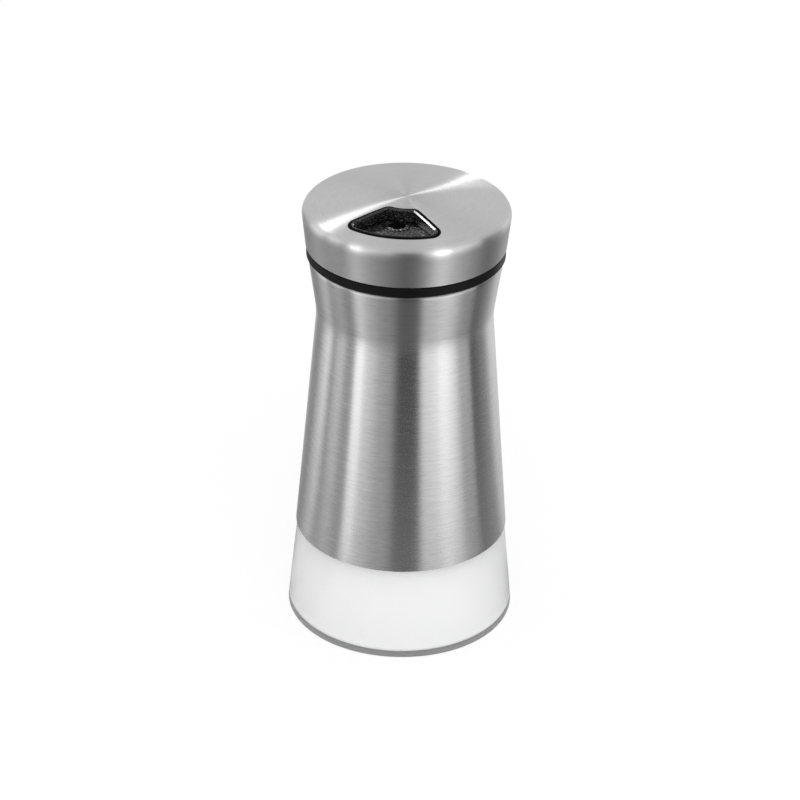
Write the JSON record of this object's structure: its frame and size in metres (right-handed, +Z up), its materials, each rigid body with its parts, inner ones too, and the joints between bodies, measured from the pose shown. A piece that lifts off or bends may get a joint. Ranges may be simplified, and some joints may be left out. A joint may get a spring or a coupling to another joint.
{
  "type": "spice shaker",
  "caption": "Table spice shaker: glass bottle in a waisted steel sleeve, with a screw lid whose domed steel cap turns a fan-shaped window over sets of dosing holes.",
  "frame": {"origin": "middle of the foot's plane, on the axis of the bottle", "axes": "+Z up along the axis of the bottle; -Y towards the viewer of the picture, +X to the viewer's right"},
  "size_m": [0.0576, 0.0576, 0.115],
  "materials": {
    "clear_glass": "clear pressed glass, polished",
    "sleeve_steel": "stainless, fine brushing round the axis",
    "cap_steel": "stainless, fine circular brushing",
    "lid_plastic": "black moulded plastic, fine satin",
    "liner_plastic": "black moulded plastic, glossy",
    "seal_silicone": "translucent white silicone",
    "fastener_steel": "plain stainless"
  },
  "bodies": {
    "bottle": {"glass_bottle": "clear_glass", "steel_sleeve": "sleeve_steel"},
    "seal": {"lid_seal": "seal_silicone"},
    "lid": {"lid_base": "lid_plastic"},
    "dial": {"dial_liner": "liner_plastic", "steel_cap": "cap_steel", "pivot_screw": "fastener_steel", "pivot_washer": "fastener_steel"}
  },
  "joints": [
    {"name": "lid_lift", "type": "slide", "parent": "bottle", "child": "seal", "axis": [0, 0, 1], "range_m": [0, 0.012]},
    {"name": "lid_unscrew", "type": "hinge", "parent": "seal", "child": "lid", "pos_m": [0, 0, 0.104], "axis": [0, 0, 1], "range_deg": [0, 1080]},
    {"name": "dial_turn", "type": "hinge", "parent": "lid", "child": "dial", "pos_m": [0, 0, 0.11], "axis": [0, 0, 1], "continuous": true}
  ],
  "couplings": [
    {"joint": "lid_lift", "follows": "lid_unscrew", "m_per_rad": 0.00063662}
  ]
}
